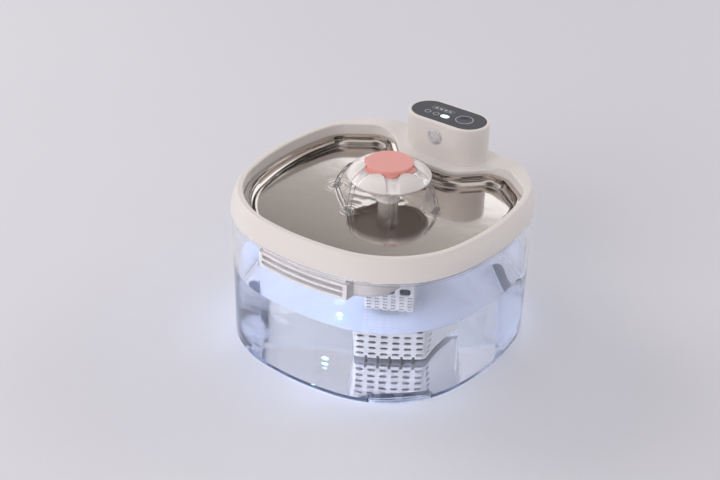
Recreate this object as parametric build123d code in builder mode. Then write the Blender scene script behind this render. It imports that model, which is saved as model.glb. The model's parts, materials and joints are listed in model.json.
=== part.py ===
from build123d import *
from math import tan, radians
import os

# Pet water fountain: a clear tank carries a lid with a steel drinking tray, a petal
# fountain head, a filter tub, a hanging pump module and a lift-off battery pod.
# Millimetres. Origin on the ground under the middle of the tank, +Z up,
# -Y the drinking side, +Y the battery pod.

# Plan shape shared by the tank, the lid and the tray
body_width = 207.0
body_depth = 214.0
side_bow_radius = 195.0
corner_radius = 80.0

# Fits
seat_gap = 0.02
running_gap = 0.05
slip_gap = 0.4
soft_gap = 0.3
pick_tolerance = 0.01
crest_steepness = 0.9

# Tank
foot_height = 1.2
tank_rim_height = 103.2
tank_rim_inset = 0.8
tank_foot_inset = 3.0
tank_wall = 3.0
tank_floor = 3.4
tank_edge_radius = 3.0
tank_lip_height = 2.2
tank_lip_overhang = 0.5

# Foot pads
pad_length = 45.0
pad_width = 7.5
pad_recess = 1.0
pad_corner_x = body_width / 2 - 37.5
pad_corner_y = body_depth / 2 - 38.5

# Lid ring
seam_gap = 0.5
crest_height = tank_rim_height + 17.3
crown_rise = 10.5
crown_inset = 4.6
shoulder_radius = 28.0
ring_wall = 2.6
ring_inner_wall = 2.2
ring_roof = 9.0
crest_edge_radius = 1.2
platform_drop = 5.5
platform_half_width = 35.0
platform_slope_width = 27.0
ledge_width = 2.6
ledge_thickness = 1.6

# Steel tray
tray_inset = 9.7
lobe_y = body_depth / 2 - 31.5
lobe_inner_x = body_width / 2 - 59.5
lobe_outer_x = body_width / 2 - 44.5
lobe_fall = 0.75
bay_y = body_depth / 2 - 53.5
bay_half_width = 23.5
lobe_radius = 16.0
side_radius = 24.0
bay_radius = 16.0
tray_sheet = 0.8
tray_rim_height = crest_height - 8.0
tray_rim_width = 3.4
tray_rim_bead = 1.5
tray_depth = 8.5
tray_roll_radius = 7.0
drain_slot_width = 2.2
drain_slot_start = 13.0
drain_slot_end = 33.0
drain_slot_angle = 66.5

# Deck with its filter tub and return grille
deck_plate = 2.5
deck_flange = 1.6
deck_flange_inset = 2.9
tub_half_width = body_width / 2 - 45.5
tub_front = body_depth / 2 - 18.5
tub_back = 43.5
tub_corner_radius = 25.0
tub_wall = 2.0
tub_bottom = tank_rim_height - 22.2
tub_edge_radius = 5.0
grille_width = 76.0
grille_inset = 7.5
grille_bottom = tub_bottom + 1.5
grille_bar = 1.9
grille_slot = 3.1
grille_slot_count = 2
grille_end_wall = 3.0
grille_neck_setback = 2.5
filter_thickness = 12.0

# Lid screws
screw_count = 8
screw_inset = 6.7
screw_radius = 1.4
screw_head_radius = 2.1
screw_head_height = 1.4
screw_length = 9.5
boss_radius = 3.0

# Riser and fountain head
hub_y = 5.5
riser_radius = 5.5
riser_bore = 4.0
riser_bottom = tub_bottom - 9.0
riser_top = crest_height - 0.5
riser_boss_wall = 2.0
stem_radius = 7.4
stem_flare = 1.2
stem_flare_height = 2.0
flower_turn = 10.0
petal_count = 6
dome_radius = 31.0
dome_foot_radius = 27.0
dome_hollow_radius = 25.0
dome_knuckle_radius = 24.8
dome_knuckle_height = crest_height + 9.5
dome_underside = crest_height + 2.1
dome_waist = crest_height + 5.1
dome_shoulder_height = crest_height + 11.7
dome_wall = 2.0
petal_rise = 1.5
channel_width_rim = 8.8
channel_width_hub = 13.5
petal_inner_radius = 17.2
petal_arch_radius = 6.5
cap_radius = 17.3
cap_thickness = 2.5
cap_edge_radius = 0.8
cap_lobe_radius = 5.4
cap_lobe_reach = 14.6
cap_flange = 1.5
cap_spigot_length = 6.0
cap_spigot_core = 1.6
cap_fin_width = 1.6
cap_fin_count = 3
dome_hole_radius = 4.4

# Battery pod
pod_y = body_depth / 2 - 24.5
pod_half_spacing = 16.5
pod_radius = 17.2
pod_top = crest_height + 24.0
pod_wall = 2.0
pod_edge_radius = 1.2
pod_plug_radius = 14.2
pod_plug_depth = 8.0
socket_wall = 2.0
socket_floor = 1.8
display_margin = 2.4
display_thickness = 1.6
display_ledge = 2.0
touch_x = 13.8
touch_radius = 6.9
touch_ring_width = 0.9
display_edge = 0.3
led_pitch = 4.4
led_size = 2.0
led_height = 0.8
led_row = 4.5
icon_pitch = 7.5
icon_count = 3
sensor_x = -1.0
sensor_height = crest_height + 12.0
sensor_lens_radius = 6.5
sensor_lens_rise = 1.6
sensor_flange = 1.4
sensor_can_radius = 4.6
sensor_can_length = 4.2
board_thickness = 1.6
port_height = crest_height + 7.5
port_width = 9.0
port_thickness = 3.3
port_depth = 7.5
port_corner = 1.4
port_shell = 0.7
port_tongue_width = 6.7
port_tongue_thickness = 0.7
flap_width = 16.0
flap_height = 9.5
flap_thickness = 1.6
flap_recess = 1.2
battery_length = 40.0
battery_width = 22.0
battery_height = 13.0
battery_edge_radius = 4.0
battery_rib_spacing = 26.0
battery_rib_width = 2.0
battery_rib_height = 1.5
board_boss_radius = 1.4
board_boss_inset = 0.8
contact_spacing = 12.0
contact_radius = 1.6
contact_height = 2.2
contact_pad_thickness = 0.8

# Pump module, turned about the riser
pump_turn = 29.5
basket_width = 36.6
basket_front = 36.6
basket_back = 20.0
basket_offset = 6.9
basket_bottom = 6.0
basket_top = tub_bottom - 5.0
basket_draft = 3.0
basket_wall = 2.0
basket_corner_radius = 3.0
basket_lid_thickness = 2.2
hole_columns = 6
hole_rows = 5
hole_length = 3.9
hole_height = 2.2
hole_row_pitch = 5.1
hole_first_row = 9.6
window_count = 3
window_height = 12.0
window_gap = 3.4
window_sill = 33.0
window_corner_radius = 3.0
floor_slot_width = 1.5
floor_slot_length = 14.0
side_slot_length = 7.0
lid_skirt = 3.0
pump_height = 34.0
pump_depth = 23.5
pump_side_gap = 0.6
pump_corner_radius = 4.0
pump_edge_radius = 1.5
pump_cover_thickness = 2.0
volute_radius = 12.5
volute_depth = 9.0
outlet_bore = 3.0
spigot_overlap = 10.0
intake_radius = 6.2
intake_boss_radius = 2.4
intake_rib_count = 3
intake_rib_width = 1.4
shaft_radius = 1.0
shaft_seat = 1.2
shaft_socket = 5.0
rotor_gap = 0.5
impeller_radius = 11.4
impeller_disc = 1.6
impeller_hub_radius = 3.4
blade_count = 6
blade_thickness = 1.2
blade_sweep = 40.0
blade_bow = 1.2
coil_outer_radius = 17.0
coil_inner_radius = 9.0
coil_thickness = 1.2

# Night light under the tub
light_x = -3.0
light_y = -47.5
light_radius = 4.0
light_seat = 1.2
light_drop = 1.0


def body_outline(inset):
    """Rounded square of four bowed sides with tangent corner arcs, moved inwards by inset."""
    bow = side_bow_radius - inset
    side_x, side_y = body_width / 2 - side_bow_radius, body_depth / 2 - side_bow_radius
    with BuildSketch(mode=Mode.PRIVATE) as outline:
        with Locations((0, side_y)):
            Circle(bow)
        with Locations((0, -side_y)):
            Circle(bow, mode=Mode.INTERSECT)
        with Locations((side_x, 0)):
            Circle(bow, mode=Mode.INTERSECT)
        with Locations((-side_x, 0)):
            Circle(bow, mode=Mode.INTERSECT)
        fillet(outline.vertices(), corner_radius - inset)
    return outline.sketch


def tray_outline(margin):
    """Heart-like plan of the drinking tray: two lobes beside the bay of the battery pod."""
    far_x = body_width / 2
    far_y = lobe_y - lobe_fall * (far_x - lobe_outer_x)
    with BuildSketch(mode=Mode.PRIVATE) as lobes:
        Polygon(
            (-far_x, far_y),
            (-lobe_outer_x, lobe_y),
            (-lobe_inner_x, lobe_y),
            (-bay_half_width, bay_y),
            (bay_half_width, bay_y),
            (lobe_inner_x, lobe_y),
            (lobe_outer_x, lobe_y),
            (far_x, far_y),
            (far_x, -body_depth),
            (-far_x, -body_depth),
            align=None,
        )
        if margin:
            offset(amount=margin, kind=Kind.INTERSECTION)
    with BuildSketch(mode=Mode.PRIVATE) as outline:
        add(body_outline(tray_inset - margin))
        add(lobes.sketch, mode=Mode.INTERSECT)
        bay_edge, lobe_edge = bay_y + margin, lobe_y + margin
        corners = outline.vertices()
        fillet([v for v in corners if abs(v.Y - bay_edge) < pick_tolerance], bay_radius - margin)
        corners = outline.vertices()
        fillet([v for v in corners if abs(v.Y - lobe_edge) < pick_tolerance], lobe_radius + margin)
        side_corners = outline.vertices().filter_by_position(Axis.Y, far_y, lobe_edge - lobe_radius / 2)
        outer_x = lobe_outer_x + lobe_radius / 2
        fillet([v for v in side_corners if abs(v.X) > outer_x], side_radius + margin)
    return outline.sketch


# Levels that follow from the sizes above
tank_floor_top = foot_height + tank_floor
ring_bottom = tank_rim_height + seam_gap
shoulder_height = crest_height - crown_rise
deck_top = tank_rim_height
deck_bottom = deck_top - deck_plate
flange_top = deck_top + deck_flange
tray_floor_top = tray_rim_height - tray_depth + tray_sheet
tray_floor_bottom = tray_rim_height - tray_depth
ledge_top = tray_rim_height - tray_rim_bead
ring_void_top = crest_height - ring_roof
platform_level = crest_height - platform_drop
socket_floor_top = platform_level - pod_plug_depth
socket_bottom = socket_floor_top - socket_floor
tub_floor_top = tub_bottom + tub_wall
tank_mouth_inset = tank_rim_inset + tank_wall
deck_inset = tank_mouth_inset + slip_gap

os.makedirs("parts", exist_ok=True)


# ---------------------------------------------------------------- tank
def foot_pad(width, length):
    """Plan of the four pads, one across each corner of the tank floor."""
    with BuildSketch(mode=Mode.PRIVATE) as plan:
        for side_x, side_y in ((1, 1), (-1, 1), (-1, -1), (1, -1)):
            turn = -45 if side_x * side_y > 0 else 45
            with Locations(Location((side_x * pad_corner_x, side_y * pad_corner_y, 0), (0, 0, turn))):
                SlotOverall(length, width)
    return plan.sketch


with BuildPart() as tank:
    with BuildSketch(Plane.XY.offset(foot_height)):
        add(body_outline(tank_foot_inset))
    with BuildSketch(Plane.XY.offset(tank_rim_height)):
        add(body_outline(tank_rim_inset))
    loft(ruled=True)
    fillet(tank.edges().group_by(Axis.Z)[0], tank_edge_radius)
    # Lip that the lid ring stands over
    with BuildSketch(Plane.XY.offset(tank_rim_height - tank_lip_height)):
        add(body_outline(tank_rim_inset - tank_lip_overhang))
    extrude(amount=tank_lip_height)
    with BuildSketch(Plane.XY.offset(tank_floor_top)):
        add(body_outline(tank_foot_inset + tank_wall))
    with BuildSketch(Plane.XY.offset(tank_rim_height)):
        add(body_outline(tank_mouth_inset))
    loft(ruled=True, mode=Mode.SUBTRACT)
    with BuildSketch(Plane.XY.offset(foot_height)):
        add(foot_pad(pad_width + slip_gap, pad_length + slip_gap))
    extrude(amount=pad_recess, mode=Mode.SUBTRACT)
tank.part.label = "tank"
export_step(tank.part, "parts/tank.step")

with BuildPart() as foot_pads:
    with BuildSketch():
        add(foot_pad(pad_width, pad_length))
    extrude(amount=foot_height + pad_recess)
foot_pads.part.label = "foot_pads"
export_step(foot_pads.part, "parts/foot_pads.step")

# ---------------------------------------------------------------- lid ring
screw_path = body_outline(screw_inset).face().outer_wire()
screw_points = [screw_path.position_at((k + 0.5) / screw_count) for k in range(screw_count)]
screw_spots = [(point.X, point.Y) for point in screw_points]


def pod_plan(radius):
    """Stadium plan of the battery pod and its socket."""
    with BuildSketch(mode=Mode.PRIVATE) as plan:
        with Locations((0, pod_y)):
            SlotCenterToCenter(2 * pod_half_spacing, 2 * radius)
    return plan.sketch


with BuildPart() as top_ring:
    with BuildSketch(Plane.XY.offset(ring_bottom)):
        add(body_outline(0))
    extrude(amount=shoulder_height - ring_bottom)
    with BuildSketch(Plane.XY.offset(shoulder_height)):
        add(body_outline(0))
    with BuildSketch(Plane.XY.offset(crest_height)):
        add(body_outline(crown_inset))
    loft(ruled=True)
    ring_edges = top_ring.edges()
    shoulder = [e for e in ring_edges if abs(e.center().Z - shoulder_height) < pick_tolerance]
    fillet(shoulder, shoulder_radius)
    # The top dips to a level platform for the pod, with a soft slope at either end
    slope_middle_x = platform_half_width + platform_slope_width / 2
    slope_middle = (slope_middle_x, platform_level + platform_drop / 2)
    slope_top = (platform_half_width + platform_slope_width, crest_height)
    with BuildSketch(Plane.XZ):
        with BuildLine():
            Line((0, platform_level), (platform_half_width, platform_level))
            slope_foot = TangentArc((platform_half_width, platform_level), slope_middle, tangent=(1, 0))
            TangentArc(slope_middle, slope_top, tangent=slope_foot % 1)
            Line(slope_top, (slope_top[0], crest_height + platform_drop))
            Line((slope_top[0], crest_height + platform_drop), (0, crest_height + platform_drop))
            mirror(about=Plane.YZ)
        make_face()
    extrude(amount=-body_depth / 2, mode=Mode.SUBTRACT)
    # Hollow underside
    with BuildSketch(Plane.XY.offset(ring_bottom)):
        add(body_outline(ring_wall))
        add(tray_outline(slip_gap + ring_inner_wall), mode=Mode.SUBTRACT)
    extrude(amount=ring_void_top - ring_bottom, mode=Mode.SUBTRACT)
    # Walls of the pod socket and bosses for the deck screws
    with BuildSketch(Plane.XY.offset(socket_bottom)):
        add(pod_plan(pod_plug_radius + slip_gap + socket_wall))
    extrude(amount=platform_level - socket_bottom)
    with BuildSketch(Plane.XY.offset(flange_top)):
        with Locations(*screw_spots):
            Circle(boss_radius)
    extrude(amount=ring_void_top - flange_top)
    # Opening of the tray and the ledge that carries its rim
    with BuildSketch(Plane.XY.offset(ring_bottom)):
        add(tray_outline(slip_gap))
    extrude(amount=crest_height - ring_bottom, mode=Mode.SUBTRACT)
    level_faces = [f for f in top_ring.faces() if f.center().Z > platform_level - pick_tolerance]
    crest_faces = [f for f in level_faces if f.normal_at().Z > crest_steepness]
    crest_edges = ShapeList([e for f in crest_faces for e in f.edges()])
    fillet(crest_edges.filter_by(Axis.Y, reverse=True), crest_edge_radius)
    with BuildSketch(Plane.XY.offset(ledge_top - ledge_thickness)):
        add(tray_outline(slip_gap + ring_inner_wall / 2))
        add(tray_outline(-ledge_width), mode=Mode.SUBTRACT)
    extrude(amount=ledge_thickness)
    # The flange of the deck lies under the inner wall
    with BuildSketch(Plane.XY.offset(ring_bottom)):
        add(body_outline(ring_wall))
    extrude(amount=flange_top - ring_bottom, mode=Mode.SUBTRACT)
    with BuildSketch(Plane.XY.offset(platform_level)):
        add(pod_plan(pod_plug_radius + slip_gap))
    extrude(amount=-pod_plug_depth, mode=Mode.SUBTRACT)
    with BuildSketch(Plane.XY.offset(flange_top)):
        with Locations(*screw_spots):
            Circle(screw_radius + running_gap)
    extrude(amount=ring_void_top - flange_top, mode=Mode.SUBTRACT)
    # Seats of the contact pads in the socket floor
    with BuildSketch(Plane.XY.offset(socket_floor_top - contact_pad_thickness)):
        with Locations((0, pod_y)):
            with GridLocations(contact_spacing, 0, 2, 1):
                Circle(contact_radius + seat_gap)
    extrude(amount=contact_pad_thickness, mode=Mode.SUBTRACT)
top_ring.part.label = "top_ring"
export_step(top_ring.part, "parts/top_ring.step")

# ---------------------------------------------------------------- steel tray
with BuildPart() as basin:
    with BuildSketch(Plane.XY.offset(tray_floor_top)):
        add(tray_outline(-tray_rim_width))
    extrude(amount=tray_depth)
    fillet(basin.edges().group_by(Axis.Z)[0], tray_roll_radius - tray_sheet)

with BuildPart() as steel_tray:
    with BuildSketch(Plane.XY.offset(tray_floor_bottom)):
        add(tray_outline(-tray_rim_width + tray_sheet))
    extrude(amount=tray_depth)
    fillet(steel_tray.edges().group_by(Axis.Z)[0], tray_roll_radius)
    with BuildSketch(Plane.XY.offset(ledge_top)):
        add(tray_outline(0))
    extrude(amount=tray_rim_bead)
    fillet(steel_tray.edges().group_by(Axis.Z)[-1], tray_rim_bead / 2)
    add(basin.part, mode=Mode.SUBTRACT)
    with Locations((0, hub_y, tray_floor_top)):
        Hole(riser_radius + slip_gap)
    with BuildSketch(Plane.XY.offset(tray_floor_bottom)):
        for angle in (drain_slot_angle, 180 - drain_slot_angle):
            with Locations((0, hub_y)):
                with PolarLocations(0, 1, start_angle=angle):
                    with Locations(((drain_slot_start + drain_slot_end) / 2, 0)):
                        SlotOverall(drain_slot_end - drain_slot_start, drain_slot_width)
    extrude(amount=tray_sheet, mode=Mode.SUBTRACT)
steel_tray.part.label = "steel_tray"
export_step(steel_tray.part, "parts/steel_tray.step")

# ---------------------------------------------------------------- deck and filter tub
def tub_plan(inset):
    """Rounded rectangle of the filter tub under the tray."""
    with BuildSketch(mode=Mode.PRIVATE) as plan:
        with Locations((0, (tub_back - tub_front) / 2)):
            RectangleRounded(
                2 * (tub_half_width - inset),
                tub_front + tub_back - 2 * inset,
                tub_corner_radius - inset,
            )
    return plan.sketch


grille_height = grille_slot_count * grille_slot + (grille_slot_count + 1) * grille_bar

with BuildPart() as tub:
    with BuildSketch(Plane.XY.offset(tub_bottom)):
        add(tub_plan(0))
    extrude(amount=deck_bottom - tub_bottom)
    fillet(tub.edges().group_by(Axis.Z)[0], tub_edge_radius)

with BuildPart() as tub_inside:
    with BuildSketch(Plane.XY.offset(tub_floor_top)):
        add(tub_plan(tub_wall))
    extrude(amount=deck_top - tub_floor_top)
    fillet(tub_inside.edges().group_by(Axis.Z)[0], tub_edge_radius - tub_wall)

with BuildPart() as deck:
    with BuildSketch(Plane.XY.offset(deck_bottom)):
        add(body_outline(deck_inset))
    extrude(amount=deck_plate)
    with BuildSketch(Plane.XY.offset(deck_top)):
        add(body_outline(deck_flange_inset))
        add(tray_outline(-ledge_width / 2), mode=Mode.SUBTRACT)
    extrude(amount=deck_flange)
    add(tub.part)
    # Return duct to the front wall, with a set-back neck above it
    with BuildSketch(Plane.XY.offset(grille_bottom)):
        add(body_outline(grille_inset))
        with Locations((0, -tub_front)):
            Rectangle(grille_width, 2 * (body_depth / 2 - tub_front + tub_wall), mode=Mode.INTERSECT)
    extrude(amount=grille_height)
    with BuildSketch(Plane.XY.offset(grille_bottom + grille_height)):
        add(body_outline(grille_inset + grille_neck_setback))
        with Locations((0, -tub_front)):
            Rectangle(
                grille_width - 2 * grille_neck_setback,
                2 * (body_depth / 2 - tub_front + tub_wall),
                mode=Mode.INTERSECT,
            )
    extrude(amount=deck_bottom - grille_bottom - grille_height)
    add(tub_inside.part, mode=Mode.SUBTRACT)
    # Slots of the return grille run through into the tub
    for k in range(grille_slot_count):
        level = grille_bottom + grille_bar + k * (grille_bar + grille_slot)
        with BuildSketch(Plane.XY.offset(level)):
            with Locations((0, -(tub_front + body_depth / 2) / 2)):
                RectangleRounded(
                    grille_width - 2 * grille_end_wall,
                    body_depth / 2 - tub_front + 4 * tub_wall,
                    grille_slot / 2,
                )
        extrude(amount=grille_slot, mode=Mode.SUBTRACT)
    with BuildSketch(Plane.XY.offset(tub_floor_top)):
        with Locations((0, hub_y)):
            Circle(riser_radius + riser_boss_wall)
    extrude(amount=deck_top - tub_floor_top)
    with Locations((0, hub_y, deck_top)):
        Hole(riser_radius + seat_gap)
    with Locations(*[(x, y, deck_bottom) for x, y in screw_spots]):
        Cylinder(
            screw_radius + slip_gap / 2,
            flange_top - deck_bottom,
            align=(Align.CENTER, Align.CENTER, Align.MIN),
            mode=Mode.SUBTRACT,
        )
        Cylinder(
            screw_head_radius + slip_gap / 2,
            screw_head_height,
            align=(Align.CENTER, Align.CENTER, Align.MIN),
            mode=Mode.SUBTRACT,
        )
    # Pocket of the transmit coil and seat of the night light on the underside
    with BuildSketch(Plane.XY.offset(tub_bottom)):
        with Locations((0, hub_y)):
            Circle(coil_outer_radius + seat_gap)
            Circle(coil_inner_radius - seat_gap, mode=Mode.SUBTRACT)
    extrude(amount=coil_thickness, mode=Mode.SUBTRACT)
    with Locations((light_x, light_y, tub_bottom)):
        Cylinder(
            light_radius,
            light_seat,
            align=(Align.CENTER, Align.CENTER, Align.MIN),
            mode=Mode.SUBTRACT,
        )
deck.part.label = "deck"
export_step(deck.part, "parts/deck.step")

with BuildPart() as deck_screws:
    with Locations(*[(x, y, deck_bottom) for x, y in screw_spots]):
        Cylinder(screw_head_radius, screw_head_height, align=(Align.CENTER, Align.CENTER, Align.MIN))
        Cylinder(screw_radius, screw_length, align=(Align.CENTER, Align.CENTER, Align.MIN))
deck_screws.part.label = "deck_screws"
export_step(deck_screws.part, "parts/deck_screws.step")

with BuildPart() as filter_pad:
    with BuildSketch(Plane.XY.offset(tub_floor_top + soft_gap)):
        add(tub_plan(tub_edge_radius))
        with Locations((0, hub_y)):
            Circle(riser_radius + riser_boss_wall + soft_gap, mode=Mode.SUBTRACT)
    extrude(amount=filter_thickness)
filter_pad.part.label = "filter_pad"
export_step(filter_pad.part, "parts/filter_pad.step")

with BuildPart() as riser_tube:
    with BuildSketch(Plane.XY.offset(riser_bottom)):
        with Locations((0, hub_y)):
            Circle(riser_radius)
            Circle(riser_bore, mode=Mode.SUBTRACT)
    extrude(amount=riser_top - riser_bottom)
riser_tube.part.label = "riser_tube"
export_step(riser_tube.part, "parts/riser_tube.step")

with BuildPart() as light_lens:
    with Locations((light_x, light_y, tub_bottom + light_seat)):
        Cylinder(
            light_radius - seat_gap,
            light_seat + light_drop,
            align=(Align.CENTER, Align.CENTER, Align.MAX),
        )
    fillet(light_lens.edges().group_by(Axis.Z)[0], light_drop / 2)
light_lens.part.label = "light_lens"
export_step(light_lens.part, "parts/light_lens.step")

with BuildPart() as transmit_coil:
    with BuildSketch(Plane.XY.offset(tub_bottom)):
        with Locations((0, hub_y)):
            Circle(coil_outer_radius)
            Circle(coil_inner_radius, mode=Mode.SUBTRACT)
    extrude(amount=coil_thickness)
transmit_coil.part.label = "transmit_coil"
export_step(transmit_coil.part, "parts/transmit_coil.step")

# ---------------------------------------------------------------- fountain head
with BuildPart() as flower_stem:
    with BuildSketch(Plane.XZ.offset(-hub_y)):
        with BuildLine():
            Polyline(
                (riser_radius + slip_gap, tray_floor_top),
                (stem_radius + stem_flare, tray_floor_top),
                (stem_radius, tray_floor_top + stem_flare_height),
                (stem_radius, dome_underside),
                (riser_radius + slip_gap, dome_underside),
                close=True,
            )
        make_face()
    revolve(axis=Axis((0, hub_y, 0), (0, 0, 1)))
flower_stem.part.label = "flower_stem"
export_step(flower_stem.part, "parts/flower_stem.step")


def dome_profile(lift):
    """Half section of the dome: a low crown over a waist that turns in underneath."""
    with BuildSketch(Plane.XZ.offset(-hub_y), mode=Mode.PRIVATE) as section:
        with BuildLine():
            Line((0, dome_underside), (dome_foot_radius, dome_underside))
            ThreePointArc(
                (dome_foot_radius, dome_underside),
                (dome_radius - dome_wall / 2 + lift / 3, (dome_underside + dome_waist) / 2),
                (dome_radius - petal_rise / 2 + lift / 2, dome_waist),
            )
            ThreePointArc(
                (dome_radius - petal_rise / 2 + lift / 2, dome_waist),
                (dome_knuckle_radius, dome_knuckle_height + lift),
                (cap_radius, dome_shoulder_height + lift),
            )
            Line((cap_radius, dome_shoulder_height + lift), (0, dome_shoulder_height + lift))
            Line((0, dome_shoulder_height + lift), (0, dome_underside))
        make_face()
    return section.sketch


hub_axis = Axis((0, hub_y, 0), (0, 0, 1))
petal_pitch = 360 / petal_count

with BuildPart() as flower_dome:
    add(dome_profile(petal_rise))
    revolve(axis=hub_axis)
    with BuildSketch(Plane((0, hub_y, dome_underside))) as petal_plan:
        Circle(dome_radius + petal_rise)
        Circle(petal_inner_radius, mode=Mode.SUBTRACT)
        with PolarLocations(0, petal_count, start_angle=flower_turn):
            Polygon(
                (0, -channel_width_hub / 2),
                (dome_radius + petal_rise, -channel_width_rim / 2),
                (dome_radius + petal_rise, channel_width_rim / 2),
                (0, channel_width_hub / 2),
                align=None,
                mode=Mode.SUBTRACT,
            )
        inner_corners = petal_plan.vertices().sort_by_distance((0, hub_y, dome_underside))
        fillet(inner_corners[: 2 * petal_count], petal_arch_radius)
    extrude(amount=crest_height, mode=Mode.INTERSECT)
    add(dome_profile(0))
    revolve(axis=hub_axis)
    # Hollow underneath, with the stem running up to the roof
    with BuildSketch(Plane((0, hub_y, dome_underside))):
        Circle(dome_hollow_radius)
        Circle(stem_radius, mode=Mode.SUBTRACT)
    extrude(amount=dome_waist - dome_underside + dome_wall, mode=Mode.SUBTRACT)
    with Locations((0, hub_y, dome_shoulder_height)):
        Hole(dome_hole_radius)
flower_dome.part.label = "flower_dome"
export_step(flower_dome.part, "parts/flower_dome.step")

with BuildPart() as flower_cap:
    with BuildSketch(Plane((0, hub_y, dome_shoulder_height))):
        Circle(cap_radius - cap_edge_radius)
        with PolarLocations(cap_lobe_reach, petal_count, start_angle=flower_turn):
            Circle(cap_lobe_radius)
    extrude(amount=cap_flange)
    with BuildSketch(Plane((0, hub_y, dome_shoulder_height + cap_flange))):
        Circle(cap_radius)
    extrude(amount=cap_thickness)
    fillet(flower_cap.edges().group_by(Axis.Z)[-1], cap_edge_radius)
    # Finned spigot that leaves room for the water
    with BuildSketch(Plane((0, hub_y, dome_shoulder_height))):
        Circle(cap_spigot_core)
        with PolarLocations(0, cap_fin_count):
            Rectangle(2 * (dome_hole_radius - running_gap), cap_fin_width)
        Circle(dome_hole_radius - running_gap, mode=Mode.INTERSECT)
    extrude(amount=-cap_spigot_length)
flower_cap.part.label = "flower_cap"
export_step(flower_cap.part, "parts/flower_cap.step")

# ---------------------------------------------------------------- battery pod
plug_bottom = socket_floor_top
display_bottom = pod_top - display_thickness
pod_bottom = platform_level
pod_roof_bottom = display_bottom - pod_wall
pod_front = pod_y - pod_radius
pod_back = pod_y + pod_radius
pod_inner_radius = pod_radius - pod_wall
flap_middle = port_height
flap_axis_height = flap_middle + flap_height / 2 - flap_thickness / 2
flap_axis_y = pod_back - flap_recess + running_gap + flap_thickness / 2

with BuildPart() as pod_shell:
    with BuildSketch(Plane.XY.offset(pod_bottom)):
        add(pod_plan(pod_radius))
    extrude(amount=pod_top - pod_bottom)
    fillet(pod_shell.edges().group_by(Axis.Z)[-1], pod_edge_radius)
    with BuildSketch(Plane.XY.offset(pod_bottom)):
        add(pod_plan(pod_radius - pod_wall))
    extrude(amount=pod_roof_bottom - pod_bottom, mode=Mode.SUBTRACT)
    with BuildSketch(Plane.XY.offset(pod_top)):
        add(pod_plan(pod_radius - display_margin))
    extrude(amount=-display_thickness, mode=Mode.SUBTRACT)
    with BuildSketch(Plane.XY.offset(display_bottom)):
        add(pod_plan(pod_radius - display_margin - display_ledge))
    extrude(amount=-pod_wall, mode=Mode.SUBTRACT)
    with BuildSketch(Plane.XZ.offset(-pod_front)):
        with Locations((sensor_x, sensor_height)):
            Circle(sensor_lens_radius + running_gap)
    extrude(amount=-pod_wall, both=True, mode=Mode.SUBTRACT)
    # Bosses the circuit board hangs on
    with BuildSketch(Plane.XY.offset(pod_roof_bottom - board_thickness)):
        with Locations((0, pod_y)):
            with GridLocations(2 * pod_half_spacing, 2 * (pod_inner_radius - board_boss_inset), 2, 2):
                Circle(board_boss_radius)
    extrude(amount=board_thickness)
    # Charging port and the recess of its flap in the back wall
    with BuildSketch(Plane.XZ.offset(-pod_back)):
        with Locations((0, flap_middle)):
            Rectangle(flap_width + 2 * soft_gap, flap_height + 2 * soft_gap)
    extrude(amount=flap_recess, mode=Mode.SUBTRACT)
    with BuildSketch(Plane.XZ.offset(-pod_back)):
        with Locations((0, flap_middle)):
            RectangleRounded(port_width + running_gap, port_thickness + running_gap, port_corner)
    extrude(amount=pod_wall, mode=Mode.SUBTRACT)
pod_shell.part.label = "pod_shell"
export_step(pod_shell.part, "parts/pod_shell.step")

with BuildPart() as pod_base:
    with BuildSketch(Plane.XY.offset(plug_bottom)):
        add(pod_plan(pod_plug_radius))
    extrude(amount=pod_bottom - plug_bottom)
    with BuildSketch(Plane.XY.offset(pod_bottom)):
        add(pod_plan(pod_radius - pod_wall - seat_gap))
    extrude(amount=pod_wall)
    with BuildSketch(Plane.XY.offset(plug_bottom + pod_wall)):
        add(pod_plan(pod_plug_radius - pod_wall))
    extrude(amount=pod_bottom + pod_wall - plug_bottom, mode=Mode.SUBTRACT)
    with BuildSketch(Plane.XY.offset(plug_bottom)):
        with Locations((0, pod_y)):
            with GridLocations(contact_spacing, 0, 2, 1):
                Circle(contact_radius)
    extrude(amount=pod_wall, mode=Mode.SUBTRACT)
    with BuildSketch(Plane.XY.offset(plug_bottom + pod_wall)):
        with Locations((0, pod_y)):
            with GridLocations(battery_rib_spacing, 0, 2, 1):
                Rectangle(battery_rib_width, battery_width / 2)
    extrude(amount=battery_rib_height)
pod_base.part.label = "pod_base"
export_step(pod_base.part, "parts/pod_base.step")

with BuildPart() as contact_pins:
    with BuildSketch(Plane.XY.offset(plug_bottom)):
        with Locations((0, pod_y)):
            with GridLocations(contact_spacing, 0, 2, 1):
                Circle(contact_radius - seat_gap)
    extrude(amount=contact_height)
contact_pins.part.label = "contact_pins"
export_step(contact_pins.part, "parts/contact_pins.step")

with BuildPart() as contact_pads:
    with BuildSketch(Plane.XY.offset(socket_floor_top - contact_pad_thickness)):
        with Locations((0, pod_y)):
            with GridLocations(contact_spacing, 0, 2, 1):
                Circle(contact_radius)
    extrude(amount=contact_pad_thickness)
contact_pads.part.label = "contact_pads"
export_step(contact_pads.part, "parts/contact_pads.step")

battery_bottom = plug_bottom + pod_wall + battery_rib_height
with BuildPart() as battery_pack:
    with Locations((0, pod_y, battery_bottom)):
        Box(
            battery_length,
            battery_width,
            battery_height,
            align=(Align.CENTER, Align.CENTER, Align.MIN),
        )
    fillet(battery_pack.edges().filter_by(Axis.X), battery_edge_radius)
battery_pack.part.label = "battery_pack"
export_step(battery_pack.part, "parts/battery_pack.step")

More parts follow.
